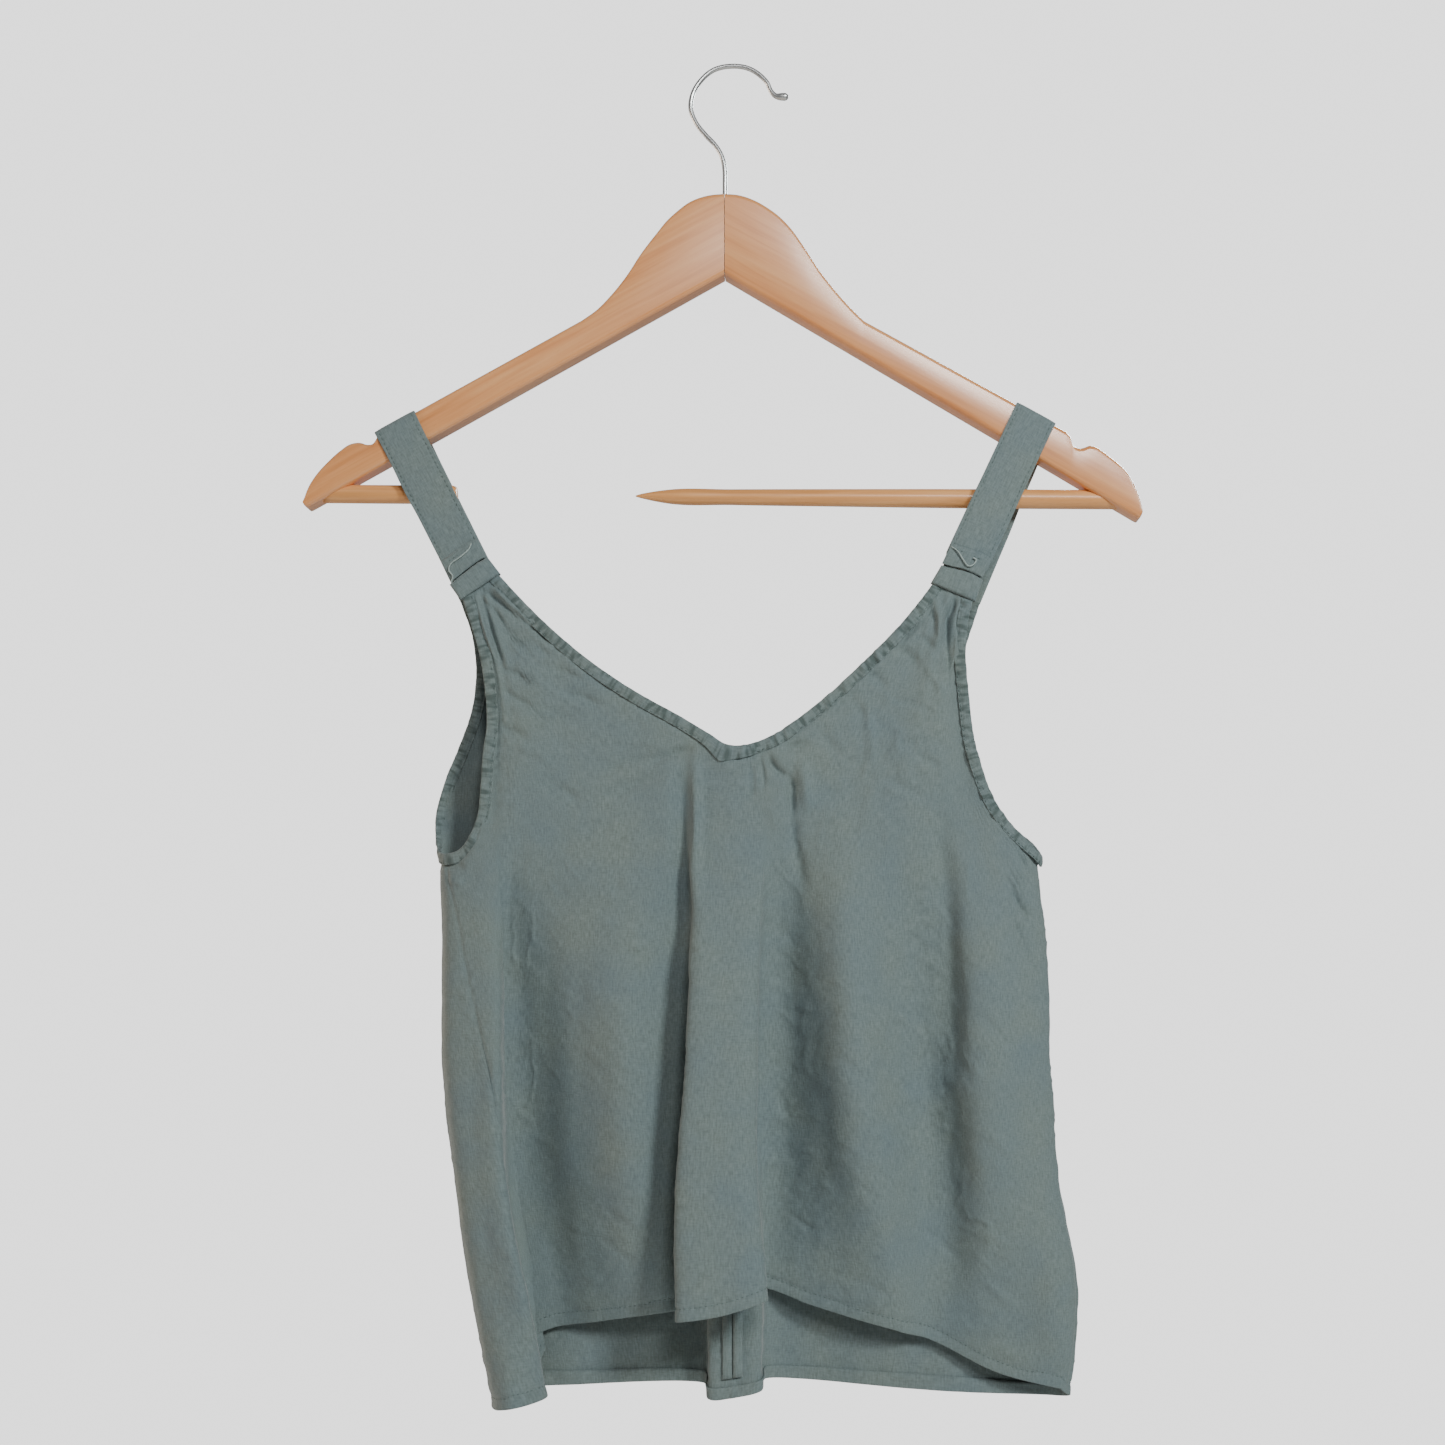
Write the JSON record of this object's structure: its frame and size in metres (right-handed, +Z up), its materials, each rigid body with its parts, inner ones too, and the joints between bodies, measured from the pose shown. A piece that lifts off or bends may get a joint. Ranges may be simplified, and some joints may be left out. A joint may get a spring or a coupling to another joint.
{
  "type": "sleeveless blouse on a clothes hanger",
  "caption": "Sleeveless V-neck blouse with wide straps, soft folds and a high-low hem, hanging by its straps from a flat wooden hanger with a wire hook and a trouser bar.",
  "frame": {"origin": "top of the inner curve of the hanger's hook, where it rests on a peg or rail", "axes": "+Z up, -Y the way the blouse's front faces, +X to the right of a person looking at the front"},
  "size_m": [0.4429, 0.0708, 0.7101],
  "materials": {
    "sage_linen": "matte plain weave",
    "lacquered_wood": "clear lacquer",
    "turned_wood": "smooth, lightly waxed",
    "chromed_steel": "polished wire"
  },
  "bodies": {
    "root": {"front_panel": "sage_linen", "back_panel_left": "sage_linen", "back_panel_right": "sage_linen", "seam_allowance_left": "sage_linen", "seam_allowance_right": "sage_linen", "armhole_binding_left": "sage_linen", "armhole_binding_right": "sage_linen", "neck_binding_front": "sage_linen", "neck_binding_back": "sage_linen", "strap_left": "sage_linen", "strap_right": "sage_linen", "band_left": "sage_linen", "band_right": "sage_linen", "strap_tab_left": "sage_linen", "strap_tab_right": "sage_linen", "hanger_arm_left": "lacquered_wood", "hanger_arm_right": "lacquered_wood", "trouser_bar_left": "turned_wood", "trouser_bar_right": "turned_wood", "hook": "chromed_steel", "hook_nut": "chromed_steel"}
  },
  "joints": []
}
